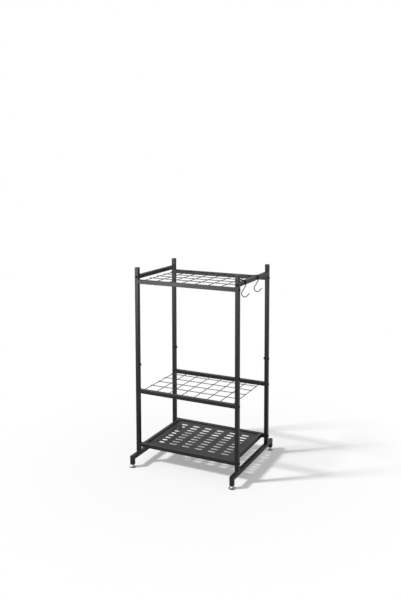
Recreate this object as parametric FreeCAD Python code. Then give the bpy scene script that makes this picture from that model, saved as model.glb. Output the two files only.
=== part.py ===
import FreeCAD, Part
import math
import os

from FreeCAD import Vector

# Freestanding garden tool rack in square steel tube. Millimetres.
# The origin is on the floor, midway between the four posts. +Z is up, the front faces -Y, +X is right.

# The frame over the outer faces of its posts
rack_width = 638.0
rack_depth = 446.0
rack_height = 1131.0

# Square tube of the posts and rails
tube = 22.0
tube_wall = 1.2
tube_corner = 2.0

# Base runners, tube laid front to back under the posts, with ends turned down to the feet
runner_tube = 22.0
runner_wall = 1.2
runner_corner = 2.0
runner_overhang = 68.0
stub_drop = 26.0

# Tops of the shelf and mid rails above the floor, and of the top rails below the tops of the posts
shelf_rail_top = 120.5
mid_rail_top = 433.5
side_rail_drop = 42.0
top_rail_drop = 69.0

# Joint between the lower and upper half of each post: a sleeve inside, and one bolt across it
joint_height = 560.0
joint_bolt_rise = 15.0
sleeve_length = 120.0
sleeve_wall = 1.5
sleeve_clearance = 0.1

# Caps in the tops of the posts
cap_plate = 2.0
cap_plug_depth = 12.0
cap_plug_wall = 1.5
cap_clearance = 0.1

# Bolts with domed heads, threaded into nuts set in the ends of the rails
bolt_diameter = 8.0
bolt_hole_clearance = 0.3
thread_clearance = 0.05
bolt_head_diameter = 14.0
bolt_head_height = 4.5
bolt_socket_across_flats = 5.0
bolt_socket_depth = 2.5
bolt_reach_past_nut = 2.0
rail_nut_length = 10.0
rail_nut_clearance = 0.1
joint_nut_across_flats = 13.0
joint_nut_height = 6.5
joint_bolt_end = 1.5

# Welded wire grids at the top and mid level: the depth wires run front to back, the cross wires lie on them
wire = 4.0
wire_gap = 0.05
depth_wires = 8
cross_wires = 4
wire_sink = 6.0
grid_side_margin = 20.0

# Shelf: two tubes between its front and back rail, and a slotted sheet set in the frame of the four tubes.
# The sheet lies below their tops. Its front and back edges are folded down against the rails' inner faces.
shelf_side_margin = 13.0
sheet = 1.5
sheet_bend = 2.0
sheet_recess = 5.0
sheet_fold = 17.0
slot_columns = 6
slot_rows = 9
slot_length = 46.0
slot_width = 16.0
slot_side_margin = 36.5
slot_end_margin = 57.0

# Levelling feet: a threaded stud that turns in an insert in the stub, on a disc with a pad under it
foot_pad_diameter = 38.0
foot_pad_thickness = 4.0
foot_disc_diameter = 36.0
foot_disc_rim = 1.0
foot_cone_rise = 2.4
foot_boss_diameter = 18.0
foot_boss_rise = 1.6
foot_socket_floor = 1.5
stud_diameter = 8.0
stud_clearance = 0.05
stud_end_gap = 0.3
stud_collar_across_flats = 13.0
stud_collar_height = 6.65
stud_collar_gap = 0.05
stud_stop_gap = 0.3
stud_reach = 28.0
insert_flange = 2.0
insert_length = 14.0
insert_clearance = 0.1

# Wire hooks over the right-hand side rail
hook_wire = 5.0
hook_gap = 0.3
hook_inner_leg = 14.0
hook_knee_drop = 3.0
hook_knee_radius = 8.0
hook_loop_radius = 17.5
hook_loop_inboard = 4.4
hook_loop_drop = 49.0
hook_tip_rise = 48.0
hook_tip_length = 21.5
hook_end_round = 1.2
hook_front_from_post = 66.0
hook_spacing = 176.0

# Places worked out from the sizes above
half_width = rack_width / 2
half_depth = rack_depth / 2
post_x = half_width - tube / 2
post_y = half_depth - tube / 2
inner_x = half_width - tube
inner_y = half_depth - tube
top_rail_top = rack_height - top_rail_drop
side_rail_top = rack_height - side_rail_drop
disc_top = foot_pad_thickness + foot_disc_rim + foot_cone_rise + foot_boss_rise
collar_bottom = disc_top + stud_collar_gap
stop_height = collar_bottom + stud_collar_height + stud_stop_gap
stub_underside = stop_height + insert_flange
runner_underside = stub_underside + stub_drop
runner_top = runner_underside + runner_tube
stub_y = half_depth + runner_overhang - runner_tube / 2
tube_bore = tube - 2 * tube_wall
runner_bore = runner_tube - 2 * runner_wall
bolt_radius = bolt_diameter / 2
grid_half_width = inner_x - grid_side_margin
shelf_rail_x = inner_x - shelf_side_margin - tube / 2
panel_half_width = shelf_rail_x - tube / 2
post_tube_top = rack_height - cap_plate
joint_bolt_height = joint_height + joint_bolt_rise

corners = {
    "front_left": (-1, -1),
    "front_right": (1, -1),
    "back_left": (-1, 1),
    "back_right": (1, 1),
}


def rounded_square(size, corner):
    """Face in the XY plane, centred on the origin: a square with its four corners rounded."""
    half = size / 2
    flat = half - corner
    mid = flat + corner * math.sqrt(0.5)
    edges = []
    for quarter in range(4):
        turn = FreeCAD.Rotation(Vector(0, 0, 1), 90.0 * quarter)
        points = [(half, -flat), (half, flat), (mid, mid), (flat, half)]
        a, b, m, c = [turn.multVec(Vector(x, y, 0)) for x, y in points]
        edges.append(Part.LineSegment(a, b).toShape())
        edges.append(Part.Arc(b, m, c).toShape())
    return Part.Face(Part.Wire(edges))


def square_bar(size, corner, length):
    """Solid square bar standing on the XY plane."""
    return rounded_square(size, corner).extrude(Vector(0, 0, length))


def square_tube(size, wall, corner, length):
    """Square tube standing on the XY plane."""
    bore = square_bar(size - 2 * wall, corner - wall, length)
    return square_bar(size, corner, length).cut(bore)


def laid_along_x(shape):
    """Turns a shape that stands on the XY plane so that its +Z runs along +X."""
    shape.rotate(Vector(0, 0, 0), Vector(0, 1, 0), 90)
    return shape


def laid_along_y(shape):
    """Turns a shape that stands on the XY plane so that its +Z runs along +Y."""
    shape.rotate(Vector(0, 0, 0), Vector(1, 0, 0), -90)
    return shape


def moved(shape, x, y, z):
    """The shape, moved."""
    shape.translate(Vector(x, y, z))
    return shape


def hole(x, y, z, direction, radius, length):
    """Round cutter centred on a point and running both ways along a direction."""
    along = Vector(*direction)
    start = Vector(x, y, z) - along * (length / 2)
    return Part.makeCylinder(radius, length, start, along)


def hexagon(across_flats, height):
    """Solid hexagonal prism standing on the XY plane."""
    reach = across_flats / math.sqrt(3)
    points = []
    for side in range(7):
        angle = math.radians(60 * side)
        points.append(Vector(reach * math.cos(angle), reach * math.sin(angle), 0))
    return Part.Face(Part.makePolygon(points)).extrude(Vector(0, 0, height))


# Base runners

def mitre_cutter(y_outer, outward):
    """Everything above and outside the 45 degree plane through a runner's outer top corner."""
    size = runner_tube * 4
    wedge = [
        Vector(-size, y_outer, runner_top),
        Vector(-size, y_outer - outward * size, runner_top - size),
        Vector(-size, y_outer + outward * size, runner_top - size),
        Vector(-size, y_outer + outward * size, runner_top + size),
        Vector(-size, y_outer, runner_top + size),
    ]
    return Part.Face(Part.makePolygon(wedge + wedge[:1])).extrude(Vector(2 * size, 0, 0))


def runner():
    """Runner tube centred on X = 0, its ends cut at 45 degrees to meet the stubs."""
    end = half_depth + runner_overhang
    shape = laid_along_y(square_tube(runner_tube, runner_wall, runner_corner, 2 * end))
    shape = moved(shape, 0, -end, runner_underside + runner_tube / 2)
    for outward in (-1, 1):
        shape = shape.cut(mitre_cutter(outward * end, outward))
    return shape


def stub(outward):
    """Turned-down end of a runner, centred on X = 0: a short upright tube cut at 45 degrees."""
    end = outward * (half_depth + runner_overhang)
    height = runner_top - stub_underside
    shape = square_tube(runner_tube, runner_wall, runner_corner, height)
    shape = moved(shape, 0, outward * stub_y, stub_underside)
    return shape.common(mitre_cutter(end, outward))


# Posts

def post_holes(x_sign, y_sign):
    """Cutters for every bolt that crosses one post."""
    x = x_sign * post_x
    y = y_sign * post_y
    radius = bolt_radius + bolt_hole_clearance
    reach = tube * 2
    heights = [shelf_rail_top, mid_rail_top, top_rail_top]
    cutters = [hole(x, y, top - tube / 2, (1, 0, 0), radius, reach) for top in heights]
    cutters.append(hole(x, y, side_rail_top - tube / 2, (0, 1, 0), radius, reach))
    cutters.append(hole(x, y, joint_bolt_height, (1, 0, 0), radius, reach))
    return cutters


def post(x_sign, y_sign, bottom, top):
    """One length of a post, from one height to another, drilled for the bolts."""
    shape = square_tube(tube, tube_wall, tube_corner, top - bottom)
    shape = moved(shape, x_sign * post_x, y_sign * post_y, bottom)
    return shape.cut(Part.makeCompound(post_holes(x_sign, y_sign)))


def post_sleeve(x_sign, y_sign):
    """Sleeve inside the post, half in the lower length and half in the upper one."""
    size = tube_bore - 2 * sleeve_clearance
    bottom = joint_height - sleeve_length / 2
    shape = square_tube(size, sleeve_wall, sleeve_wall + 0.2, sleeve_length)
    shape = moved(shape, x_sign * post_x, y_sign * post_y, bottom)
    return shape.cut(Part.makeCompound(post_holes(x_sign, y_sign)))


def post_cap(x_sign, y_sign):
    """Cap on a post: a plate as wide as the tube, over a hollow plug that fits its bore."""
    plate = square_bar(tube, tube_corner, cap_plate)
    rim = [e for e in plate.Edges if e.BoundBox.ZMin > cap_plate - 0.01]
    plate = plate.makeFillet(cap_plate * 0.4, rim)
    size = tube_bore - 2 * cap_clearance
    plug = square_tube(size, cap_plug_wall, cap_plug_wall + 0.2, cap_plug_depth)
    shape = plate.fuse(moved(plug, 0, 0, -cap_plug_depth)).removeSplitter()
    return moved(shape, x_sign * post_x, y_sign * post_y, post_tube_top)


# Rails

def cross_rail(y_sign, top):
    """Rail running left to right between two posts."""
    shape = laid_along_x(square_tube(tube, tube_wall, tube_corner, 2 * inner_x))
    return moved(shape, -inner_x, y_sign * post_y, top - tube / 2)


def side_rail(x_sign, top):
    """Rail running front to back between two posts."""
    shape = laid_along_y(square_tube(tube, tube_wall, tube_corner, 2 * inner_y))
    return moved(shape, x_sign * post_x, -inner_y, top - tube / 2)


def rail_nut():
    """Square nut set in the end of a rail, standing on the XY plane with its bore through it."""
    size = tube_bore - 2 * rail_nut_clearance
    shape = square_bar(size, tube_corner - tube_wall + 0.2, rail_nut_length)
    bore = hole(0, 0, 0, (0, 0, 1), bolt_radius + thread_clearance, rail_nut_length * 3)
    return shape.cut(bore)


# Bolts

def domed_head():
    """Low domed head with a hexagon socket, standing on the XY plane."""
    radius = bolt_head_diameter / 2
    flange = bolt_head_height * 0.25
    crown = radius * 0.45
    side = Part.makePolygon([Vector(0, 0, 0), Vector(radius, 0, 0), Vector(radius, 0, flange)])
    middle = Vector(radius * 0.82, 0, flange + (bolt_head_height - flange) * 0.62)
    dome = Part.Arc(side.Vertexes[-1].Point, middle, Vector(crown, 0, bolt_head_height)).toShape()
    top = Part.makePolygon([Vector(crown, 0, bolt_head_height), Vector(0, 0, bolt_head_height), Vector(0, 0, 0)])
    outline = Part.Wire(side.Edges + [dome] + top.Edges)
    shape = Part.Face(outline).revolve(Vector(0, 0, 0), Vector(0, 0, 1), 360)
    socket = hexagon(bolt_socket_across_flats, bolt_socket_depth * 2)
    return shape.cut(moved(socket, 0, 0, bolt_head_height - bolt_socket_depth))


def bolt(shank_length):
    """Bolt with the underside of its head on the XY plane and its shank hanging below."""
    shank = Part.makeCylinder(bolt_radius, shank_length, Vector(0, 0, -shank_length))
    return domed_head().fuse(shank).removeSplitter()


def bolt_along_x(x_sign, y_sign, height, shank_length):
    """Bolt through a post along X, its head on the post's outer face."""
    shape = laid_along_x(bolt(shank_length))
    if x_sign < 0:
        shape.rotate(Vector(0, 0, 0), Vector(0, 0, 1), 180)
    return moved(shape, x_sign * half_width, y_sign * post_y, height)


def bolt_along_y(x_sign, y_sign, height, shank_length):
    """Bolt through a post along Y, its head on the post's front or back face."""
    shape = laid_along_y(bolt(shank_length))
    if y_sign < 0:
        shape.rotate(Vector(0, 0, 0), Vector(0, 0, 1), 180)
    return moved(shape, x_sign * post_x, y_sign * half_depth, height)


rail_bolt_shank = tube + rail_nut_length + bolt_reach_past_nut
joint_bolt_shank = tube + joint_nut_height + joint_bolt_end


def cross_rail_bolts(top):
    """The four bolts that hold the front and back rail of one level."""
    height = top - tube / 2
    return [bolt_along_x(x, y, height, rail_bolt_shank) for x, y in corners.values()]


def side_rail_bolts():
    """The four bolts that hold the two side rails."""
    height = side_rail_top - tube / 2
    return [bolt_along_y(x, y, height, rail_bolt_shank) for x, y in corners.values()]


def joint_bolts():
    """The four bolts across the post joints."""
    return [bolt_along_x(x, y, joint_bolt_height, joint_bolt_shank) for x, y in corners.values()]


def joint_nuts():
    """The nuts of the joint bolts, against the inner faces of the posts."""
    nuts = []
    for x_sign, y_sign in corners.values():
        nut = hexagon(joint_nut_across_flats, joint_nut_height)
        nut = nut.cut(hole(0, 0, 0, (0, 0, 1), bolt_radius + thread_clearance, joint_nut_height * 3))
        nut = laid_along_x(nut)
        if x_sign > 0:
            nut.rotate(Vector(0, 0, 0), Vector(0, 0, 1), 180)
        nuts.append(moved(nut, x_sign * inner_x, y_sign * post_y, joint_bolt_height))
    return nuts


def rail_end_nuts():
    """The nuts in the ends of all the rails."""
    nuts = []
    for x_sign, y_sign in corners.values():
        for top in (shelf_rail_top, mid_rail_top, top_rail_top):
            nut = laid_along_x(rail_nut())
            if x_sign > 0:
                nut.rotate(Vector(0, 0, 0), Vector(0, 0, 1), 180)
            nuts.append(moved(nut, x_sign * inner_x, y_sign * post_y, top - tube / 2))
        nut = laid_along_y(rail_nut())
        if y_sign > 0:
            nut.rotate(Vector(0, 0, 0), Vector(0, 0, 1), 180)
        nuts.append(moved(nut, x_sign * post_x, y_sign * inner_y, side_rail_top - tube / 2))
    return nuts


# Wire grids

def grid_depth_wires(rail_top):
    """Wires from the front rail to the back rail, evenly spaced across the grid."""
    pitch = 2 * grid_half_width / (depth_wires - 1)
    wires = []
    for i in range(depth_wires):
        x = -grid_half_width + i * pitch
        wires.append(hole(x, 0, rail_top - wire_sink, (0, 1, 0), wire / 2, 2 * inner_y))
    return wires


def grid_cross_wires(rail_top):
    """Wires from side to side on top of the depth wires, dividing the depth evenly."""
    pitch = 2 * inner_y / (cross_wires + 1)
    height = rail_top - wire_sink + wire + wire_gap
    wires = []
    for i in range(cross_wires):
        y = -inner_y + (i + 1) * pitch
        wires.append(hole(0, y, height, (1, 0, 0), wire / 2, 2 * grid_half_width + 2 * wire))
    return wires


# Shelf

def slot_cutter(x, y, top):
    """Upright cutter for one slot with round ends, long side along X."""
    radius = slot_width / 2
    straight = slot_length - slot_width
    bar = Part.makeBox(straight, slot_width, sheet * 4, Vector(x - straight / 2, y - radius, top - 2 * sheet))
    for end in (-1, 1):
        foot = Vector(x + end * straight / 2, y, top - 2 * sheet)
        bar = bar.fuse(Part.makeCylinder(radius, sheet * 4, foot))
    return bar.removeSplitter()


def shelf_side_rail(x_sign):
    """Tube of the shelf's frame, front to back between the shelf rails."""
    return moved(side_rail(x_sign, shelf_rail_top), x_sign * (shelf_rail_x - post_x), 0, 0)


def shelf_panel():
    """Slotted sheet between the four tubes of the shelf, folded down at its front and back edge."""
    width = 2 * panel_half_width
    depth = 2 * inner_y
    top = shelf_rail_top - sheet_recess
    shape = Part.makeBox(width, depth, sheet, Vector(-panel_half_width, -inner_y, top - sheet))
    for y in (-inner_y, inner_y - sheet):
        shape = shape.fuse(Part.makeBox(width, sheet, sheet_fold, Vector(-panel_half_width, y, top - sheet_fold)))
    shape = shape.removeSplitter()
    for height, inset, radius in ((top, 0, sheet_bend), (top - sheet, sheet, sheet_bend - sheet)):
        folds = []
        for e in shape.Edges:
            box = e.BoundBox
            across = box.YLength < 0.01 and box.ZLength < 0.01 and abs(box.ZMin - height) < 0.01
            if across and abs(abs(box.Center.y) - (inner_y - inset)) < 0.01:
                folds.append(e)
        shape = shape.makeFillet(radius, folds)
    pitch_x = (width - 2 * slot_side_margin - slot_length) / (slot_columns - 1)
    pitch_y = (depth - 2 * slot_end_margin) / (slot_rows - 1)
    cutters = []
    for column in range(slot_columns):
        x = (column - (slot_columns - 1) / 2) * pitch_x
        for row in range(slot_rows):
            y = (row - (slot_rows - 1) / 2) * pitch_y
            cutters.append(slot_cutter(x, y, top))
    return shape.cut(Part.makeCompound(cutters))


# Levelling feet

def foot_insert(x, y):
    """Plug in the lower end of a stub, with a flange under it and a threaded bore for the stud."""
    flange = square_bar(runner_tube, runner_corner, insert_flange)
    size = runner_bore - 2 * insert_clearance
    plug = square_bar(size, runner_corner - runner_wall + 0.2, insert_length)
    shape = flange.fuse(moved(plug, 0, 0, insert_flange)).removeSplitter()
    shape = shape.cut(hole(0, 0, 0, (0, 0, 1), stud_diameter / 2 + stud_clearance, insert_length * 4))
    return moved(shape, x, y, stop_height)


def foot_stud(x, y):
    """Threaded stud with a hexagon collar: its foot sits in the disc, its thread in the insert."""
    collar = moved(hexagon(stud_collar_across_flats, stud_collar_height), 0, 0, collar_bottom)
    foot = foot_pad_thickness + foot_socket_floor + stud_end_gap
    top = stub_underside + stud_reach
    rod = Part.makeCylinder(stud_diameter / 2, top - foot, Vector(0, 0, foot))
    tip = [e for e in rod.Edges if e.BoundBox.ZMin > top - 0.01]
    rod = rod.makeChamfer(stud_diameter * 0.1, tip)
    return moved(collar.fuse(rod).removeSplitter(), x, y, 0)


def foot_disc(x, y):
    """Shallow cone on a flat rim, with a blind socket in its boss for the foot of the stud."""
    rim = foot_disc_diameter / 2
    boss = foot_boss_diameter / 2
    bottom = foot_pad_thickness
    shoulder = bottom + foot_disc_rim
    outline = [
        Vector(0, 0, bottom),
        Vector(rim, 0, bottom),
        Vector(rim, 0, shoulder),
        Vector(boss, 0, shoulder + foot_cone_rise),
        Vector(boss * 0.9, 0, disc_top),
        Vector(0, 0, disc_top),
        Vector(0, 0, bottom),
    ]
    shape = Part.Face(Part.makePolygon(outline)).revolve(Vector(0, 0, 0), Vector(0, 0, 1), 360)
    edge = [e for e in shape.Edges if abs(e.BoundBox.ZMin - shoulder) < 0.01 and e.BoundBox.ZLength < 0.01]
    shape = shape.makeFillet(foot_disc_rim * 0.3, edge)
    radius = stud_diameter / 2 + stud_clearance
    socket = Part.makeCylinder(radius, disc_top, Vector(0, 0, bottom + foot_socket_floor))
    return moved(shape.cut(socket), x, y, 0)


def foot_pad(x, y):
    """Round pad under the disc, resting on the floor."""
    shape = Part.makeCylinder(foot_pad_diameter / 2, foot_pad_thickness)
    edge = [e for e in shape.Edges if e.BoundBox.ZMax < 0.01]
    return moved(shape.makeChamfer(foot_pad_thickness * 0.2, edge), x, y, 0)


# Hooks

def hook(y):
    """S-shaped wire hook: squared over the side rail, then a slanted shank and a round loop with an open tip.
    Its centre line is drawn in X and Z from the rail's outer top edge, and lies at one Y."""
    off = hook_gap + hook_wire / 2
    bend = tube_corner + off
    flat_45 = bend * (1 - math.sqrt(0.5))
    inner = -tube - off
    knee = Vector(off, 0, -tube - hook_knee_drop)
    loop = Vector(-hook_loop_inboard, 0, -tube - hook_loop_drop)
    apart = knee.sub(loop).Length
    slant = math.atan2(knee.x - loop.x, knee.z - loop.z) + math.asin(hook_loop_radius / apart)
    down = Vector(-math.sin(slant), 0, -math.cos(slant))
    tangent = knee + down * math.sqrt(apart**2 - hook_loop_radius**2)
    cut_back = hook_knee_radius * math.tan(slant / 2)
    knee_in = knee + Vector(0, 0, cut_back)
    knee_out = knee + down * cut_back
    knee_centre = knee_in + Vector(-hook_knee_radius, 0, 0)
    half = slant / 2
    knee_mid = knee_centre + Vector(math.cos(half), 0, -math.sin(half)) * hook_knee_radius
    rise = math.radians(hook_tip_rise)
    loop_end = loop + Vector(math.sin(rise), 0, -math.cos(rise)) * hook_loop_radius
    tip = loop_end + Vector(math.cos(rise), 0, math.sin(rise)) * hook_tip_length
    steps = [
        ("line", Vector(inner, 0, -hook_inner_leg), Vector(inner, 0, off - bend)),
        ("arc", Vector(inner, 0, off - bend), Vector(inner + flat_45, 0, off - flat_45), Vector(inner + bend, 0, off)),
        ("line", Vector(inner + bend, 0, off), Vector(off - bend, 0, off)),
        ("arc", Vector(off - bend, 0, off), Vector(off - flat_45, 0, off - flat_45), Vector(off, 0, off - bend)),
        ("line", Vector(off, 0, off - bend), knee_in),
        ("arc", knee_in, knee_mid, knee_out),
        ("line", knee_out, tangent),
        ("arc", tangent, loop + Vector(0, 0, -hook_loop_radius), loop_end),
        ("line", loop_end, tip),
    ]
    edges = []
    for kind, *points in steps:
        curve = Part.LineSegment(*points) if kind == "line" else Part.Arc(*points)
        edges.append(curve.toShape())
    path = Part.Wire(edges)
    start = steps[0][1]
    ring = Part.Wire(Part.Circle(start, Vector(0, 0, 1), hook_wire / 2).toShape())
    pipe = Part.BRepOffsetAPI.MakePipeShell(path)
    pipe.add(ring)
    pipe.build()
    pipe.makeSolid()
    shape = pipe.shape()
    ends = []
    for e in shape.Edges:
        centre = e.BoundBox.Center
        if min(centre.distanceToPoint(start), centre.distanceToPoint(tip)) < hook_wire * 0.2:
            ends.append(e)
    shape = shape.makeFillet(hook_end_round, ends)
    return moved(shape, half_width, y, side_rail_top)


# All the pieces, one file each

def all_nodes():
    """Every piece or group of like pieces, by the name of its file."""
    nodes = {}
    for side, x_sign in (("left", -1), ("right", 1)):
        nodes[f"runner_{side}"] = moved(runner(), x_sign * post_x, 0, 0)
        nodes[f"top_side_rail_{side}"] = side_rail(x_sign, side_rail_top)
        nodes[f"shelf_side_rail_{side}"] = shelf_side_rail(x_sign)
    for name, (x_sign, y_sign) in corners.items():
        x = x_sign * post_x
        y = y_sign * stub_y
        nodes[f"runner_end_{name}"] = moved(stub(y_sign), x, 0, 0)
        nodes[f"post_lower_{name}"] = post(x_sign, y_sign, runner_top, joint_height)
        nodes[f"post_upper_{name}"] = post(x_sign, y_sign, joint_height, post_tube_top)
        nodes[f"post_sleeve_{name}"] = post_sleeve(x_sign, y_sign)
        nodes[f"post_cap_{name}"] = post_cap(x_sign, y_sign)
        nodes[f"foot_stud_{name}"] = foot_stud(x, y)
        nodes[f"foot_disc_{name}"] = foot_disc(x, y)
        nodes[f"foot_pad_{name}"] = foot_pad(x, y)
    for level, top in (("shelf", shelf_rail_top), ("mid", mid_rail_top), ("top", top_rail_top)):
        nodes[f"{level}_front_rail"] = cross_rail(-1, top)
        nodes[f"{level}_back_rail"] = cross_rail(1, top)
        nodes[f"{level}_rail_bolts"] = Part.makeCompound(cross_rail_bolts(top))
    for level, top in (("mid", mid_rail_top), ("top", top_rail_top)):
        nodes[f"{level}_grid_depth_wires"] = Part.makeCompound(grid_depth_wires(top))
        nodes[f"{level}_grid_cross_wires"] = Part.makeCompound(grid_cross_wires(top))
    inserts = [foot_insert(x * post_x, y * stub_y) for x, y in corners.values()]
    nodes["foot_inserts"] = Part.makeCompound(inserts)
    nodes["side_rail_bolts"] = Part.makeCompound(side_rail_bolts())
    nodes["post_joint_bolts"] = Part.makeCompound(joint_bolts())
    nodes["post_joint_nuts"] = Part.makeCompound(joint_nuts())
    nodes["rail_end_nuts"] = Part.makeCompound(rail_end_nuts())
    nodes["shelf_panel"] = shelf_panel()
    hook_y = -inner_y + hook_front_from_post
    nodes["hook_front"] = hook(hook_y)
    nodes["hook_back"] = hook(hook_y + hook_spacing)
    return nodes


def main():
    """Builds every node and writes it to its own file."""
    os.makedirs("parts", exist_ok=True)
    for name, shape in sorted(all_nodes().items()):
        shape.exportStep(f"parts/{name}.step")
        box = shape.BoundBox
        size = f"{box.XLength:.1f} x {box.YLength:.1f} x {box.ZLength:.1f}"
        print(f"{name}: {len(shape.Solids)} solid(s), {size} mm, valid {shape.isValid()}")


main()
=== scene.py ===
import math

import bmesh
import bpy
import numpy as np
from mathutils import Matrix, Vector


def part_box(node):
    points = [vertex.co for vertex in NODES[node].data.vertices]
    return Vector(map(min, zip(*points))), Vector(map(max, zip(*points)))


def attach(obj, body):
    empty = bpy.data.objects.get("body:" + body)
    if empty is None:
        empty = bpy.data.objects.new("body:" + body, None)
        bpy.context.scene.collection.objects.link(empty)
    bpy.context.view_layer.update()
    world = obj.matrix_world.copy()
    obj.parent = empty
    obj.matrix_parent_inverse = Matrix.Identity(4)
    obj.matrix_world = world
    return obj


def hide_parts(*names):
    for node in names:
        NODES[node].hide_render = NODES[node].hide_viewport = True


bl_info = {
    "name": "Garden tool rack",
    "version": (1, 0, 0),
    "blender": (4, 5, 0),
    "location": "View3D > Sidebar > Rack",
    "description": "Finishes, weld detail, threaded feet and a studio for a freestanding garden tool rack",
    "category": "Object",
}

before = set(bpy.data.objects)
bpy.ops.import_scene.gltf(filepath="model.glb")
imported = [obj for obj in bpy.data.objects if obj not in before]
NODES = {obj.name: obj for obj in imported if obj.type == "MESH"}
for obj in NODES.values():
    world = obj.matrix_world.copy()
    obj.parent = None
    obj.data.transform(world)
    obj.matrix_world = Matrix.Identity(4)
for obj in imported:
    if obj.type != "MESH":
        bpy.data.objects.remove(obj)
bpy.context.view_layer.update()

# Corners of the rack, with the sign of their Y

CORNERS = {"front_left": -1, "front_right": -1, "back_left": 1, "back_right": 1}

# Fixed colours of the finishes: dust on the coat, cast of the zinc, clean and oiled steel

DUST = (0.05, 0.049, 0.047)
ZINC_CAST = (0.60, 0.60, 0.55)
STEEL_CLEAN = (0.36, 0.36, 0.37)
STEEL_OILED = (0.27, 0.26, 0.25)

# Wires in each grid, as the CAD model has them

DEPTH_WIRES = 8
CROSS_WIRES = 4

# Spot welds where two wires cross: points round one, rings, and height as a share of its width

SPOT_AROUND = 10
SPOT_RINGS = 7
SPOT_HEIGHT = 0.75

# Fillet where a wire ends on a rail: points round it, and its radius in wire radii at metres past the
# wire's end

WIRE_FILLET_AROUND = 12
WIRE_FILLET = (
    (0.6, -0.0028), (1.04, -0.0024), (1.12, -0.0016), (1.35, -0.0008), (1.75, 0.0), (0.6, 0.0002))

# Weld beads: points round one, rings per ripple, fewest rings, rise of a ripple as a share of the radius,
# and length of an end in radii

BEAD_AROUND = 12
BEAD_RINGS_PER_RIPPLE = 6
BEAD_FEWEST_RINGS = 12
BEAD_RIPPLE_RISE = 0.13
BEAD_END = 1.2

# Radius that a bead or spot keeps at its very end, in metres

TIP_RADIUS = 2e-6

# Foot studs: points round the rod, its radius, the cuts of its lower and upper end, and how deep the part
# under the collar goes into it. Thread: rings per turn, how deep it starts in the collar, the plain length
# over the collar, and its run-out. Lengths are in metres

STUD_AROUND = 36
STUD_RADIUS = 0.004
STUD_FOOT_CUT = 0.0005
STUD_TOP_CUT = 0.0008
STUD_FOOT_SINK = 0.0002
THREAD_RINGS_PER_TURN = 10
THREAD_SINK = 0.0006
THREAD_CLEAR = 0.0004
THREAD_RUN_OUT = 0.001

# Hexagon collar of the studs: points round it, half its width across flats, gaps to disc and insert, and
# levels from either end, in metres; the radius of its chamfer as a share of the half width, the chamfer's
# slope, and the radius of the collar's inner edge as a share of the rod's

COLLAR_AROUND = 72
COLLAR_HALF_FLATS = 0.0065
COLLAR_GAP_BELOW = 0.00005
COLLAR_GAP_ABOVE = 0.0003
COLLAR_LEVELS = (0.0, 0.0, 0.0003, 0.0006, 0.0009)
COLLAR_END_SHARE = 0.97
COLLAR_SLOPE = 1.7
COLLAR_BORE_SHARE = 0.6


# Shader maths


class Flow:
    """A shader socket that ordinary operators work on. Each adds one Math node."""

    def __init__(self, finish, socket):
        self.finish = finish
        self.socket = socket

    def _math(self, operation, first, second):
        return self.finish.node("ShaderNodeMath", {"operation": operation}, {0: first, 1: second})

    def __add__(self, other):
        return self._math("ADD", self, other)

    def __radd__(self, other):
        return self._math("ADD", other, self)

    def __mul__(self, other):
        return self._math("MULTIPLY", self, other)

    def __rmul__(self, other):
        return self._math("MULTIPLY", other, self)

    def at_most(self, other):
        return self._math("MINIMUM", self, other)

    def at_least(self, other):
        return self._math("MAXIMUM", self, other)

    def step(self, low, high):
        """0 below low and 1 above high, smooth between them."""
        inputs = {"Value": self, "From Min": low, "From Max": high, "To Min": 0.0, "To Max": 1.0}
        settings = {"interpolation_type": "SMOOTHSTEP", "clamp": True}
        return self.finish.node("ShaderNodeMapRange", settings, inputs)


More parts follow.
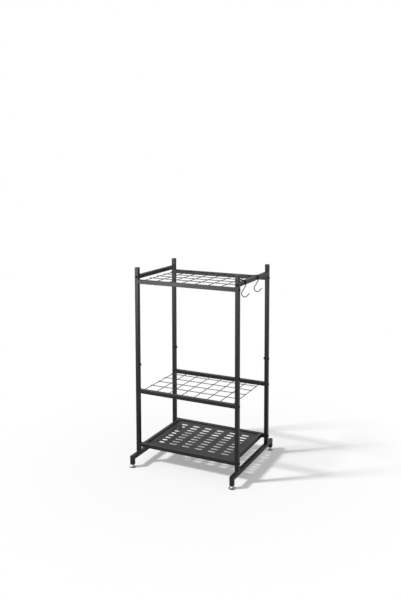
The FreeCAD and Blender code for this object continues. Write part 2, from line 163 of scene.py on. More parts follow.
class Finish:
    """A material under construction: one method adds any node, the rest are common patterns."""

    def __init__(self, name):
        self.material = bpy.data.materials.new(name)
        self.material.use_nodes = True
        self.tree = self.material.node_tree
        self.tree.nodes.clear()
        self.coords = self.node("ShaderNodeTexCoord", {}, {}, "Object")

    def node(self, kind, settings, inputs, output=0):
        """Adds a node, sets it up, feeds its sockets with values or flows and gives one output."""
        made = self.tree.nodes.new(kind)
        for key, value in settings.items():
            setattr(made, key, value)
        for key, value in inputs.items():
            if isinstance(value, Flow):
                self.tree.links.new(value.socket, made.inputs[key])
            else:
                made.inputs[key].default_value = value
        return Flow(self, made.outputs[output])

    def noise(self, scale, detail=2.0, roughness=0.5, vector=None):
        """Noise between 0 and 1, with scale in ripples per metre."""
        inputs = {"Vector": vector or self.coords, "Scale": scale}
        return self.node("ShaderNodeTexNoise", {}, inputs | {"Detail": detail, "Roughness": roughness})

    def cells(self, scale):
        """Distance to the nearest of scattered points, with scale in cells per metre."""
        return self.node("ShaderNodeTexVoronoi", {}, {"Vector": self.coords, "Scale": scale})

    def place(self):
        """The X, Y and Z of a point on the piece."""
        split = self.node("ShaderNodeSeparateXYZ", {}, {0: self.coords})
        outputs = split.socket.node.outputs
        return [Flow(self, outputs[i]) for i in range(3)]

    def facing_up(self):
        """1 where a surface faces up, 0 where it is upright or faces down."""
        normal = self.node("ShaderNodeNewGeometry", {}, {}, "Normal")
        split = self.node("ShaderNodeSeparateXYZ", {}, {0: normal})
        return Flow(self, split.socket.node.outputs[2]).at_least(0.0)

    def blend(self, factor, first, second):
        """One colour, fixed or a flow, turning into a fixed second one as the factor goes from 0 to 1."""
        first = first if isinstance(first, Flow) else (*first, 1.0)
        inputs = {0: factor, 6: first, 7: (*second, 1.0)}
        return self.node("ShaderNodeMix", {"data_type": "RGBA"}, inputs, 2)

    def bump(self, height, strength, distance):
        """Surface normal from a height pattern, with the distance in metres."""
        inputs = {"Height": height, "Strength": strength, "Distance": distance}
        return self.node("ShaderNodeBump", {}, inputs)

    def surface(self, **sockets):
        """Ends the material in a Principled shader with these sockets."""
        inputs = {name.replace("_", " "): value for name, value in sockets.items()}
        self.output(self.node("ShaderNodeBsdfPrincipled", {}, inputs))
        return self.material

    def output(self, shader):
        """Leads a shader to the material's output."""
        end = self.tree.nodes.new("ShaderNodeOutputMaterial")
        self.tree.links.new(shader.socket, end.inputs["Surface"])


def coat(obj, material):
    """Gives every material slot of an object one material."""
    if not obj.material_slots:
        obj.data.materials.append(material)
    for place in obj.material_slots:
        place.material = material


def coat_named(material, *words):
    """Gives one material to every CAD node whose name holds any of the words. A word that is in no name is
    an error."""
    for word in words:
        named = [name for name in sorted(NODES) if word in name]
        if not named:
            raise ValueError(f"no CAD node has {word} in its name")
        for name in named:
            coat(NODES[name], material)


def fix_weld(piece, material):
    """Coats a piece of weld and lets it ride on the rack as part of the coated steel."""
    coat(piece, material)
    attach(piece, "rack")


# Sizes, colours and light that can be set


class RackLooks(bpy.types.PropertyGroup):
    """Colours and finishes of the rack."""

    coat_colour: bpy.props.FloatVectorProperty(
        name="Powder coat", description="Colour of the coated steel", subtype="COLOR", size=3,
        default=(0.006, 0.006, 0.0062), min=0.0, max=1.0)
    coat_roughness: bpy.props.FloatProperty(
        name="Coat roughness", description="Roughness of the powder coat", default=0.38, min=0.0, max=1.0,
        subtype="FACTOR")
    bolt_colour: bpy.props.FloatVectorProperty(
        name="Bolts", description="Colour of the blackened bolts and nuts", subtype="COLOR", size=3,
        default=(0.008, 0.008, 0.0085), min=0.0, max=1.0)
    zinc_colour: bpy.props.FloatVectorProperty(
        name="Zinc plate", description="Colour of the plated feet", subtype="COLOR", size=3,
        default=(0.66, 0.67, 0.68), min=0.0, max=1.0)
    rubber_colour: bpy.props.FloatVectorProperty(
        name="Rubber", description="Colour of the pads under the feet", subtype="COLOR", size=3,
        default=(0.045, 0.045, 0.047), min=0.0, max=1.0)
    plastic_colour: bpy.props.FloatVectorProperty(
        name="Plastic", description="Colour of the caps and inserts", subtype="COLOR", size=3,
        default=(0.022, 0.022, 0.023), min=0.0, max=1.0)
    floor_colour: bpy.props.FloatVectorProperty(
        name="Floor", description="Colour of the studio floor", subtype="COLOR", size=3,
        default=(0.90, 0.90, 0.90), min=0.0, max=1.0)


class RackSizes(bpy.types.PropertyGroup):
    """Sizes of the weld and thread detail."""

    bead_radius: bpy.props.FloatProperty(
        name="Weld bead", description="Radius of a fillet weld bead", default=0.0017, min=0.0005,
        unit="LENGTH")
    ripple: bpy.props.FloatProperty(
        name="Weld ripple", description="Distance between the ripples of a bead", default=0.0016,
        min=0.0005, unit="LENGTH")
    nugget: bpy.props.FloatProperty(
        name="Wire weld", description="Radius of the weld where two wires cross", default=0.0021,
        min=0.0005, unit="LENGTH")
    thread_pitch: bpy.props.FloatProperty(
        name="Thread pitch", description="Pitch of the foot studs' thread", default=0.00125, min=0.0002,
        unit="LENGTH")
    thread_depth: bpy.props.FloatProperty(
        name="Thread depth", description="Depth of the foot studs' thread", default=0.00075, min=0.0,
        unit="LENGTH")


class RackStudio(bpy.types.PropertyGroup):
    """Camera and light of the studio."""

    camera_place: bpy.props.FloatVectorProperty(
        name="Camera place", description="Where the camera stands", subtype="TRANSLATION", size=3,
        default=(1.7499, -3.4854, 1.7006), unit="LENGTH")
    camera_pitch: bpy.props.FloatProperty(
        name="Camera pitch", description="How far the camera looks down", default=math.radians(5.031),
        subtype="ANGLE")
    camera_heading: bpy.props.FloatProperty(
        name="Camera heading", description="How far the camera is turned to the left of straight ahead",
        default=math.radians(25.459), subtype="ANGLE")
    camera_lens: bpy.props.FloatProperty(
        name="Lens", description="Focal length in mm", default=41.37, min=1.0)
    camera_shift: bpy.props.FloatVectorProperty(
        name="Lens shift", description="Sideways and upward shift of the lens", size=2,
        default=(-0.0284, -0.1236))
    key_height: bpy.props.FloatProperty(
        name="Key height", description="Height of the main light above the horizon",
        default=math.radians(39.0), subtype="ANGLE")
    key_heading: bpy.props.FloatProperty(
        name="Key heading", description="How far the main light stands to the left of the front",
        default=math.radians(54.0), subtype="ANGLE")
    key_strength: bpy.props.FloatProperty(
        name="Key strength", description="Strength of the main light", default=3.9, min=0.0)
    key_spread: bpy.props.FloatProperty(
        name="Key spread", description="Angular size of the main light", default=math.radians(7.0),
        subtype="ANGLE")
    room_strength: bpy.props.FloatProperty(
        name="Room light", description="Strength of the light from all round", default=0.28, min=0.0)
    panel_power: bpy.props.FloatProperty(
        name="Panel power", description="Power of the soft panel in front of the rack on its left",
        default=40.0, min=0.0, unit="POWER")
    panel_size: bpy.props.FloatProperty(
        name="Panel size", description="Side of the square panel", default=0.7, min=0.01, unit="LENGTH")
    panel_place: bpy.props.FloatVectorProperty(
        name="Panel place", description="Where the panel stands", subtype="TRANSLATION", size=3,
        default=(-1.0, -1.95, 0.95), unit="LENGTH")
    panel_aim: bpy.props.FloatVectorProperty(
        name="Panel aim", description="Point that the panel faces", subtype="TRANSLATION", size=3,
        default=(0.0, 0.0, 1.0), unit="LENGTH")
    shade_lift: bpy.props.FloatProperty(
        name="Shade lift", description="How far the floor's shade is lifted towards white", default=0.33,
        min=0.0, max=1.0, subtype="FACTOR")
    fade_start: bpy.props.FloatProperty(
        name="Fade start", description="Distance from the middle where the floor starts to turn white",
        default=0.45, min=0.0, unit="LENGTH")
    fade_end: bpy.props.FloatProperty(
        name="Fade end", description="Distance from the middle where the floor is white", default=1.4,
        min=0.0, unit="LENGTH")


# Meshes from arrays


def mesh_from(name, points, faces, sharp=math.radians(40.0), join=1e-7):
    """Mesh object from arrays of points and faces, with its faces turned outwards. Points closer than join
    become one, and edges sharper than the angle stay sharp."""
    mesh = bpy.data.meshes.new(name)
    mesh.from_pydata(points.reshape(-1, 3).tolist(), [], faces)
    work = bmesh.new()
    work.from_mesh(mesh)
    bmesh.ops.remove_doubles(work, verts=work.verts, dist=join)
    bmesh.ops.recalc_face_normals(work, faces=work.faces)
    work.to_mesh(mesh)
    work.free()
    mesh.polygons.foreach_set("use_smooth", np.ones(len(mesh.polygons), dtype=bool))
    mesh.set_sharp_from_angle(angle=sharp)
    obj = bpy.data.objects.new(name, mesh)
    bpy.context.scene.collection.objects.link(obj)
    return obj


def ring_faces(rings, around, start=0):
    """Quads between rings of points that close on themselves, and a flat face at each end."""
    row, col = np.meshgrid(np.arange(rings - 1), np.arange(around), indexing="ij")
    after = (col + 1) % around
    low, high = start + row * around, start + (row + 1) * around
    quads = np.stack([low + col, low + after, high + after, high + col], -1).reshape(-1, 4).tolist()
    first = (start + np.arange(around)[::-1]).tolist()
    last = (start + (rings - 1) * around + np.arange(around)).tolist()
    return quads + [first, last]


def many_rings(grids):
    """Points and faces of several closed grids, each an array of rings by points by XYZ."""
    points, faces, start = [], [], 0
    for grid in grids:
        rings, around = grid.shape[:2]
        points.append(grid.reshape(-1, 3))
        faces += ring_faces(rings, around, start)
        start += rings * around
    return np.concatenate(points), faces


def turned(profile, around, centre, axis_x, axis_y, axis_z):
    """Surface of revolution. profile holds (radius, height) pairs; a point at angle a is
    centre + radius (cos a axis_x + sin a axis_y) + height axis_z."""
    profile = np.asarray(profile, float)
    a = np.linspace(0.0, 2 * np.pi, around, endpoint=False)
    circle = np.cos(a)[:, None] * np.asarray(axis_x) + np.sin(a)[:, None] * np.asarray(axis_y)
    radius, height = profile[:, 0, None, None], profile[:, 1, None, None]
    return np.asarray(centre) + radius * circle + height * np.asarray(axis_z)


def bead_grid(start, end, out_a, out_b, radius, ripple):
    """Fillet weld laid along a straight line in a corner. At distance s along the line and angle a round
    it, the point is the line's, plus r (cos a out_a + sin a out_b). r is the bead's radius times a ripple
    of 1 + rise |cos(pi s / ripple)|, and falls to nearly nothing as a quarter circle at each end."""
    start, end = np.asarray(start, float), np.asarray(end, float)
    length = np.linalg.norm(end - start)
    count = max(BEAD_FEWEST_RINGS, int(length / ripple * BEAD_RINGS_PER_RIPPLE))
    s = np.linspace(0.0, length, count)
    a = np.linspace(0.0, 2 * np.pi, BEAD_AROUND, endpoint=False)
    edge = np.clip(np.minimum(s, length - s) / (radius * BEAD_END), 0.0, 1.0)
    rippled = radius * (1 + BEAD_RIPPLE_RISE * np.abs(np.cos(np.pi * s / ripple)))
    r = rippled * np.sqrt(1 - (1 - edge) ** 2) + TIP_RADIUS
    line = start + (s / length)[:, None] * (end - start)
    circle = np.cos(a)[:, None] * np.asarray(out_a, float) + np.sin(a)[:, None] * np.asarray(out_b, float)
    return line[:, None, :] + r[:, None, None] * circle


# Finishes


def shades(colour, *factors):
    """The colour made darker or lighter by each factor."""
    return [[c * factor for c in colour] for factor in factors]


def powder_coat(name, colour, roughness, dust=0.35):
    """Satin powder coat: orange peel in the surface, slow drifts of gloss, fine pale dust on top faces."""
    f = Finish(name)
    drift = f.noise(scale=9.0, detail=3.0, roughness=0.55)
    peel = f.noise(scale=1400.0)
    grain = f.noise(scale=5200.0, detail=1.0)
    specks = f.noise(scale=260.0, detail=3.0, roughness=0.7).step(0.58, 0.76)
    lying = f.facing_up().step(0.55, 0.98)
    patches = f.noise(scale=38.0, detail=4.0, roughness=0.6).step(0.35, 0.7)
    veil = (lying * (0.35 + 0.65 * patches) * dust).at_most(1.0)
    base = f.blend(drift.step(0.3, 0.7), *shades(colour, 0.86, 1.14))
    dusty = f.blend(veil * 0.5 + veil * specks * 0.5, base, DUST)
    gloss = roughness - 0.06 + 0.12 * drift + 0.05 * peel + 0.16 * veil
    skin = f.bump(0.7 * peel + 0.3 * grain, strength=0.22, distance=0.0003)
    return f.surface(Base_Color=dusty, Roughness=gloss, Normal=skin, Specular_IOR_Level=0.2)


def blackened_steel(name, colour):
    """Black oxide on steel: dark, with a faint brown cast and uneven gloss."""
    f = Finish(name)
    drift = f.noise(scale=120.0, detail=3.0, roughness=0.6)
    brown = [c * factor for c, factor in zip(colour, (1.7, 1.5, 1.35))]
    base = f.blend(drift.step(0.35, 0.7), colour, brown)
    wear = f.noise(scale=900.0, roughness=0.6)
    skin = f.bump(wear, strength=0.15, distance=0.0002)
    return f.surface(Base_Color=base, Roughness=0.46 + 0.18 * wear, Normal=skin, Specular_IOR_Level=0.14)


def zinc_plate(name, colour):
    """Bright zinc: metal with faint crystal patches and fine turning marks."""
    f = Finish(name)
    patches = f.cells(scale=420.0)
    cloud = f.noise(scale=90.0, detail=3.0, roughness=0.6)
    base = f.blend(patches.step(0.1, 0.8), *shades(colour, 0.92, 1.0))
    cast = f.blend(cloud.step(0.45, 0.75) * 0.35, base, ZINC_CAST)
    skin = f.bump(f.noise(scale=2600.0, detail=1.0), strength=0.08, distance=0.0002)
    gloss = 0.24 + 0.14 * cloud + 0.06 * patches
    return f.surface(Base_Color=cast, Roughness=gloss, Metallic=1.0, Normal=skin)


def moulded_plastic(name, colour, roughness):
    """Moulded plastic or rubber with a fine matt grain."""
    f = Finish(name)
    grain = f.noise(scale=3200.0, roughness=0.55)
    cloud = f.noise(scale=70.0)
    base = f.blend(cloud.step(0.3, 0.75), *shades(colour, 0.88, 1.15))
    skin = f.bump(grain, strength=0.3, distance=0.0003)
    return f.surface(Base_Color=base, Roughness=roughness + 0.1 * grain, Normal=skin)


def plain_steel(name):
    """Bare drawn steel for the sleeves inside the posts, with draw lines along Z and a trace of oil."""
    f = Finish(name)
    stretched = f.node("ShaderNodeMapping", {}, {"Vector": f.coords, "Scale": (1.0, 1.0, 0.02)})
    lines = f.noise(scale=2600.0, roughness=0.6, vector=stretched)
    oil = f.noise(scale=40.0, detail=3.0, roughness=0.6)
    base = f.blend(oil.step(0.4, 0.7), STEEL_CLEAN, STEEL_OILED)
    skin = f.bump(lines, strength=0.2, distance=0.0002)
    return f.surface(Base_Color=base, Roughness=0.32 + 0.2 * lines, Metallic=1.0, Normal=skin)


def weld_metal(name, colour):
    """Weld bead under the powder coat: the same colour, rounder and glossier than flat tube."""
    f = Finish(name)
    lumps = f.noise(scale=700.0, detail=3.0, roughness=0.6)
    base = f.blend(lumps, *shades(colour, 0.9, 1.2))
    skin = f.bump(lumps, strength=0.3, distance=0.0004)
    return f.surface(Base_Color=base, Roughness=0.36 + 0.12 * lumps, Normal=skin)


# Operators


class RACK_OT_coated_steel(bpy.types.Operator):
    """Powder coat on posts, rails, runners and turned-down ends"""

    bl_idname = "rack.coated_steel"
    bl_label = "Coated steel tube"

    def execute(self, context):
        looks = context.scene.rack_looks
        tube = powder_coat("powder_coat_tube", looks.coat_colour, looks.coat_roughness)
        rails = ("front_rail", "back_rail", "_rail_left", "_rail_right")
        coat_named(tube, "post_lower", "post_upper", *rails, "runner")
        return {"FINISHED"}


class RACK_OT_shelf(bpy.types.Operator):
    """Powder coat on the slotted sheet of the shelf"""

    bl_idname = "rack.shelf"
    bl_label = "Slotted shelf"

    def execute(self, context):
        looks = context.scene.rack_looks
        roughness = looks.coat_roughness + 0.02
        coat(NODES["shelf_panel"], powder_coat("powder_coat_sheet", looks.coat_colour, roughness, dust=0.6))
        return {"FINISHED"}


class RACK_OT_wire_grids(bpy.types.Operator):
    """Coat on the wires of both grids, and the spot welds where they cross and meet the rails"""

    bl_idname = "rack.wire_grids"
    bl_label = "Wire grids"

    def execute(self, context):
        scene = context.scene
        looks = scene.rack_looks
        wire = powder_coat("powder_coat_wire", looks.coat_colour, looks.coat_roughness - 0.04, dust=0.2)
        coat_named(wire, "_wires")
        joint = weld_metal("coated_wire_weld", looks.coat_colour)
        for level in ("top", "mid"):
            grids = self.welds(level, scene.rack_sizes.nugget)
            fix_weld(mesh_from(f"{level}_grid_welds", *many_rings(grids)), joint)
        return {"FINISHED"}

    def welds(self, level, nugget):
        """A flattened ball at each crossing of two wires, and a fillet at each end of a depth wire. The
        ball's radius at height h, where h runs from -1 to 1, is its largest radius times the square root
        of 1 - h h. The fillet is turned round the wire from its table of radii."""
        low, high = [np.array(v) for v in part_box(f"{level}_grid_depth_wires")]
        cross_low, cross_high = [np.array(v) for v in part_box(f"{level}_grid_cross_wires")]
        radius = (high[2] - low[2]) / 2
        depth_x = np.linspace(low[0] + radius, high[0] - radius, DEPTH_WIRES)
        cross_y = np.linspace(cross_low[1] + radius, cross_high[1] - radius, CROSS_WIRES)
        z_depth = low[2] + radius
        z_meet = (high[2] + cross_low[2]) / 2
        ball = [(nugget * math.sqrt(max(0.0, 1 - h * h)) + TIP_RADIUS, h * nugget * SPOT_HEIGHT)
                for h in np.linspace(-1.0, 1.0, SPOT_RINGS)]
        grids = [turned(ball, SPOT_AROUND, (x, y, z_meet), (1, 0, 0), (0, 1, 0), (0, 0, 1))
                 for x in depth_x for y in cross_y]
        fillet = [(radius * share, past) for share, past in WIRE_FILLET]
        for x in depth_x:
            for y, way in ((low[1], -1.0), (high[1], 1.0)):
                axes = (1, 0, 0), (0, 0, 1), (0, way, 0)
                grids.append(turned(fillet, WIRE_FILLET_AROUND, (x, y, z_depth), *axes))
        return grids


class RACK_OT_weld_beads(bpy.types.Operator):
    """Weld beads round the posts' feet, over the mitres of the turned-down ends and in the shelf's frame"""

    bl_idname = "rack.weld_beads"
    bl_label = "Weld beads"

    def execute(self, context):
        scene = context.scene
        radius, ripple = scene.rack_sizes.bead_radius, scene.rack_sizes.ripple
        material = weld_metal("coated_weld", scene.rack_looks.coat_colour)
        runner_beads = []
        for corner, y_sign in CORNERS.items():
            runner_beads += self.post_beads(corner, radius, ripple)
            runner_beads += self.mitre_beads(corner, y_sign, radius, ripple)
        fix_weld(mesh_from("runner_weld_beads", *many_rings(runner_beads)), material)
        fix_weld(mesh_from("shelf_weld_beads", *many_rings(self.shelf_beads(radius, ripple))), material)
        return {"FINISHED"}

    def post_beads(self, corner, radius, ripple):
        """Four beads round the foot of a post. Those over the runner's sides are nearly flush with them."""
        short_x, short_y = 0.001, 0.002
        side_bulge, side_rise = 0.28, 0.9
        low, high = [np.array(v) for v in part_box(f"post_lower_{corner}")]
        beads = []
        for y, way in ((low[1], -1.0), (high[1], 1.0)):
            start = (low[0] + short_x, y, low[2])
            end = (high[0] - short_x, y, low[2])
            beads.append(bead_grid(start, end, (0, way, 0), (0, 0, 1), radius, ripple))
        for x in (low[0], high[0]):
            start = (x, low[1] + short_y, low[2])
            end = (x, high[1] - short_y, low[2])
            beads.append(bead_grid(start, end, (side_bulge, 0, 0), (0, 0, side_rise), radius, ripple))
        return beads

    def mitre_beads(self, corner, y_sign, radius, ripple):
        """Two flat beads down the mitre between a runner and its turned-down end, one on each side."""
        short, side_bulge = 0.003, 0.22
        low, high = [np.array(v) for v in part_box(f"runner_end_{corner}")]
        outer = low[1] if y_sign < 0 else high[1]
        inner = high[1] if y_sign < 0 else low[1]
        size = high[0] - low[0]
        slant = np.array([0.0, inner - outer, -size])
        slant = slant / np.linalg.norm(slant)
        square = np.cross(slant, (1, 0, 0))
        beads = []
        for x in (low[0], high[0]):
            start = np.array([x, outer, high[2]]) + slant * short
            end = start + slant * (size * math.sqrt(2) - 2 * short)
            beads.append(bead_grid(start, end, (side_bulge, 0, 0), square, radius, ripple))
        return beads

    def shelf_beads(self, radius, ripple):
        """Beads where the side tubes of the shelf meet its front and back rail: one across the tops and one
        down the outer corner of each joint."""
        groove_in, groove_down, groove_short, groove_share = 0.0011, 0.0009, 0.0015, 0.7
        short_below, short_above = 0.001, 0.002
        beads = []
        for side, x_sign in (("left", -1), ("right", 1)):
            low, high = [np.array(v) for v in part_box(f"shelf_side_rail_{side}")]
            outer = low[0] if x_sign < 0 else high[0]
            for y, way in ((low[1], 1.0), (high[1], -1.0)):
                groove = (y - way * groove_in, high[2] - groove_down)
                start = (low[0] + groove_short, *groove)
                end = (high[0] - groove_short, *groove)
                beads.append(bead_grid(start, end, (0, 1, 0), (0, 0, 1), radius * groove_share, ripple))
                start = (outer, y, low[2] + short_below)
                end = (outer, y, high[2] - short_above)
                beads.append(bead_grid(start, end, (x_sign, 0, 0), (0, way, 0), radius, ripple))
        return beads


class RACK_OT_fasteners(bpy.types.Operator):
    """Black oxide on bolts and nuts, bare steel on the sleeves in the posts"""

    bl_idname = "rack.fasteners"
    bl_label = "Bolts, nuts and sleeves"

    def execute(self, context):
        coat_named(blackened_steel("black_oxide", context.scene.rack_looks.bolt_colour), "_bolts", "_nuts")
        coat_named(plain_steel("drawn_steel"), "post_sleeve")
        return {"FINISHED"}


class RACK_OT_plastic_parts(bpy.types.Operator):
    """Moulded caps in the posts and inserts over the feet"""

    bl_idname = "rack.plastic_parts"
    bl_label = "Caps and inserts"

    def execute(self, context):
        colour = context.scene.rack_looks.plastic_colour
        black = moulded_plastic("matt_black_plastic", colour, roughness=0.5)
        coat_named(black, "post_cap", "foot_inserts")
        return {"FINISHED"}


class RACK_OT_levelling_feet(bpy.types.Operator):
    """Plated discs on rubber pads, and studs with a real thread"""

    bl_idname = "rack.levelling_feet"
    bl_label = "Levelling feet"

    def execute(self, context):
        scene = context.scene
        looks, sizes = scene.rack_looks, scene.rack_sizes
        zinc = zinc_plate("zinc_plate", looks.zinc_colour)
        coat_named(zinc, "foot_disc")
        coat_named(moulded_plastic("foot_rubber", looks.rubber_colour, roughness=0.62), "foot_pad")
        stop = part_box("foot_inserts")[0][2]
        for corner in CORNERS:
            low, high = [np.array(v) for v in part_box(f"foot_stud_{corner}")]
            disc_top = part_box(f"foot_disc_{corner}")[1][2]
            collar_low, collar_high = disc_top + COLLAR_GAP_BELOW, stop - COLLAR_GAP_ABOVE
            thread = self.thread(collar_high, high[2], sizes)
            foot = self.foot(low[2], collar_low)
            points, faces = many_rings([thread, foot, self.collar(collar_low, collar_high)])
            middle = (low + high) / 2
            points = points + np.array([middle[0], middle[1], 0.0])
            piece = mesh_from(f"threaded_stud_{corner}", points, faces, sharp=math.radians(28.0))
            coat(piece, zinc)
            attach(piece, f"foot_stud_body_{corner}")
            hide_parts(f"foot_stud_{corner}")
        return {"FINISHED"}

    def thread(self, bottom, top, sizes):
        """Threaded rod above the collar. Its radius at height z and angle a is the rod's radius minus the
        depth times 1 - w, where w is a triangle wave of z / pitch - a / 2 pi that fades out at both ends.
        The cut at the top comes off as well."""
        a = np.linspace(0.0, 2 * np.pi, STUD_AROUND, endpoint=False)
        rings = int((top - bottom) / sizes.thread_pitch * THREAD_RINGS_PER_TURN)
        z = np.linspace(bottom - THREAD_SINK, top, rings)
        wave = np.abs(((z[:, None] / sizes.thread_pitch - a / (2 * np.pi)) % 1.0) * 2 - 1)
        fade = np.clip(np.minimum(z - bottom - THREAD_CLEAR, top - z) / THREAD_RUN_OUT, 0.0, 1.0)[:, None]
        cut = np.clip((top - z) / STUD_TOP_CUT, 0.0, 1.0)[:, None] * STUD_TOP_CUT - STUD_TOP_CUT
        radius = STUD_RADIUS - sizes.thread_depth * (1 - fade * wave) + cut
        rise = np.broadcast_to(z[:, None], radius.shape)
        return np.stack([radius * np.cos(a), radius * np.sin(a), rise], -1)

    def foot(self, bottom, top):
        """Plain rod below the collar, reaching a little into it: a surface of revolution with a cut edge at
        its lower end."""
        profile = [(STUD_RADIUS - STUD_FOOT_CUT, bottom), (STUD_RADIUS, bottom + STUD_FOOT_CUT),
                   (STUD_RADIUS, top + STUD_FOOT_SINK)]
        return turned(profile, STUD_AROUND, (0, 0, 0), (1, 0, 0), (0, 1, 0), (0, 0, 1))

    def collar(self, low, high):
        """Hexagon collar. Its radius at an angle is the hexagon's, which is half its width across flats
        over the cosine of the angle to the middle of the nearest flat. A cone cuts it at both ends, where
        the radius is at most the cone's: its end radius plus its slope times the distance from the end."""
        a = np.linspace(0.0, 2 * np.pi, COLLAR_AROUND, endpoint=False)
        hexagon = COLLAR_HALF_FLATS / np.cos((a + np.pi / 6) % (np.pi / 3) - np.pi / 6)
        span = high - low
        below = np.array(COLLAR_LEVELS)
        level = np.concatenate([below, [span / 2], span - below[::-1]])
        cone = COLLAR_HALF_FLATS * COLLAR_END_SHARE + np.minimum(level, span - level) * COLLAR_SLOPE
        cone[0] = cone[-1] = STUD_RADIUS * COLLAR_BORE_SHARE
        radius = np.minimum(hexagon[None, :], cone[:, None])
        rise = np.broadcast_to((low + level)[:, None], radius.shape)
        return np.stack([radius * np.cos(a), radius * np.sin(a), rise], -1)


class RACK_OT_hooks(bpy.types.Operator):
    """Coated wire of the two hanging hooks"""

    bl_idname = "rack.hooks"
    bl_label = "Wire hooks"

    def execute(self, context):
        looks = context.scene.rack_looks
        wire = powder_coat("hook_coat", looks.coat_colour, looks.coat_roughness - 0.08, dust=0.1)
        coat_named(wire, "hook_")
        return {"FINISHED"}


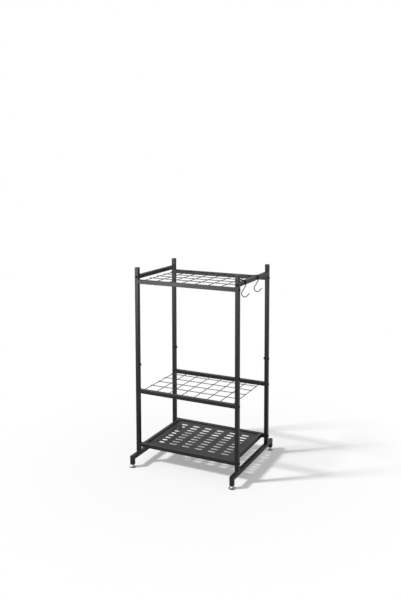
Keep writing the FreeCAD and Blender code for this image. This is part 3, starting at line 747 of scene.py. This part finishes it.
class RACK_OT_studio(bpy.types.Operator):
    """Pale floor, soft light and the camera of the photograph"""

    bl_idname = "rack.studio"
    bl_label = "Studio"

    def execute(self, context):
        scene = context.scene
        studio = scene.rack_studio
        self.floor(scene, studio)
        self.light(scene, studio)
        self.camera(scene, studio)
        scene.view_settings.view_transform = "Standard"
        return {"FINISHED"}

    def floor(self, scene, studio):
        """Flat floor that turns into plain white with distance, so that no horizon shows. Camera, glossy
        and transmitted rays see it lifted towards white, and other rays see plain paper."""
        reach = 30.0
        corners = [(x * reach, y * reach, 0.0) for x, y in ((-1, -1), (1, -1), (1, 1), (-1, 1))]
        mesh = bpy.data.meshes.new("studio_floor")
        mesh.from_pydata(corners, [], [(0, 1, 2, 3)])
        floor = bpy.data.objects.new("studio_floor", mesh)
        scene.collection.objects.link(floor)
        f = Finish("studio_floor")
        x, y, _ = f.place()
        far = f.node("ShaderNodeMath", {"operation": "SQRT"}, {0: x * x + y * y})
        paper = f.node("ShaderNodeBsdfDiffuse", {}, {"Color": (*scene.rack_looks.floor_colour, 1.0)})
        white = f.node("ShaderNodeEmission", {}, {"Color": (1.0, 1.0, 1.0, 1.0), "Strength": 1.0})
        rays = f.node("ShaderNodeLightPath", {}, {}, "Is Camera Ray")
        glossy = Flow(f, rays.socket.node.outputs["Is Glossy Ray"])
        through = Flow(f, rays.socket.node.outputs["Is Transmission Ray"])
        seen = (rays + glossy + through).at_most(1.0)
        lift = studio.shade_lift
        share = (lift + (1.0 - lift) * far.step(studio.fade_start, studio.fade_end)) * seen
        mixed = f.node("ShaderNodeMixShader", {}, {0: share, 1: paper, 2: white})
        f.output(mixed)
        coat(floor, f.material)

    def light(self, scene, studio):
        """A key from the front left, a panel for the gloss alone, and even white light from all round."""
        key = bpy.data.lights.new("key", "SUN")
        key.energy = studio.key_strength
        key.angle = studio.key_spread
        lamp = bpy.data.objects.new("key", key)
        level = math.cos(studio.key_height)
        towards = Vector((-math.sin(studio.key_heading) * level, -math.cos(studio.key_heading) * level,
                          math.sin(studio.key_height)))
        lamp.rotation_euler = towards.to_track_quat("Z", "Y").to_euler()
        scene.collection.objects.link(lamp)
        panel = bpy.data.lights.new("panel", "AREA")
        panel.energy = studio.panel_power
        panel.size = studio.panel_size
        board = bpy.data.objects.new("panel", panel)
        board.location = studio.panel_place
        behind = board.location - Vector(studio.panel_aim)
        board.rotation_euler = behind.to_track_quat("Z", "Y").to_euler()
        board.visible_camera = False
        board.visible_diffuse = False
        scene.collection.objects.link(board)
        self.room(scene, studio)

    def room(self, scene, studio):
        """World that is plain white to camera, glossy and transmitted rays, and a dim light to the rest."""
        world = bpy.data.worlds.new("studio")
        scene.world = world
        world.use_nodes = True
        tree = world.node_tree
        tree.nodes.clear()
        rays = tree.nodes.new("ShaderNodeLightPath")
        seen = rays.outputs["Is Camera Ray"]
        for kind in ("Is Glossy Ray", "Is Transmission Ray"):
            either = tree.nodes.new("ShaderNodeMath")
            either.operation = "MAXIMUM"
            tree.links.new(seen, either.inputs[0])
            tree.links.new(rays.outputs[kind], either.inputs[1])
            seen = either.outputs[0]
        strength = tree.nodes.new("ShaderNodeMapRange")
        strength.inputs["To Min"].default_value = studio.room_strength
        strength.inputs["To Max"].default_value = 1.0
        tree.links.new(seen, strength.inputs["Value"])
        sky = tree.nodes.new("ShaderNodeBackground")
        sky.inputs["Color"].default_value = (1.0, 1.0, 1.0, 1.0)
        tree.links.new(strength.outputs[0], sky.inputs["Strength"])
        out = tree.nodes.new("ShaderNodeOutputWorld")
        tree.links.new(sky.outputs[0], out.inputs["Surface"])

    def camera(self, scene, studio):
        """The camera that took the photograph, from the rack's fitted edges."""
        lens = bpy.data.cameras.new("camera")
        lens.lens = studio.camera_lens
        lens.sensor_width = 36.0
        lens.shift_x, lens.shift_y = studio.camera_shift
        lens.clip_end = 200.0
        eye = bpy.data.objects.new("camera", lens)
        eye.location = studio.camera_place
        eye.rotation_euler = (math.pi / 2 - studio.camera_pitch, 0.0, studio.camera_heading)
        scene.collection.objects.link(eye)
        scene.camera = eye


class RACK_PT_panel(bpy.types.Panel):
    """Steps and settings of the rack"""

    bl_idname = "RACK_PT_panel"
    bl_label = "Garden tool rack"
    bl_space_type = "VIEW_3D"
    bl_region_type = "UI"
    bl_category = "Rack"

    def draw(self, context):
        column = self.layout.column()
        for step in STEPS:
            column.operator(step.bl_idname)
        for name, group in GROUPS.items():
            for setting in group.__annotations__:
                column.prop(getattr(context.scene, name), setting)


STEPS = (
    RACK_OT_coated_steel,
    RACK_OT_shelf,
    RACK_OT_wire_grids,
    RACK_OT_weld_beads,
    RACK_OT_fasteners,
    RACK_OT_plastic_parts,
    RACK_OT_levelling_feet,
    RACK_OT_hooks,
    RACK_OT_studio,
)
GROUPS = {"rack_looks": RackLooks, "rack_sizes": RackSizes, "rack_studio": RackStudio}


def register():
    for group in GROUPS.values():
        bpy.utils.register_class(group)
    for name, group in GROUPS.items():
        setattr(bpy.types.Scene, name, bpy.props.PointerProperty(type=group))
    for step in STEPS:
        bpy.utils.register_class(step)
    bpy.utils.register_class(RACK_PT_panel)


def unregister():
    bpy.utils.unregister_class(RACK_PT_panel)
    for step in reversed(STEPS):
        bpy.utils.unregister_class(step)
    for name in GROUPS:
        delattr(bpy.types.Scene, name)
    for group in reversed(GROUPS.values()):
        bpy.utils.unregister_class(group)


def main():
    register()
    for step in STEPS:
        family, name = step.bl_idname.split(".")
        getattr(getattr(bpy.ops, family), name)()


if __name__ == "__main__":
    main()
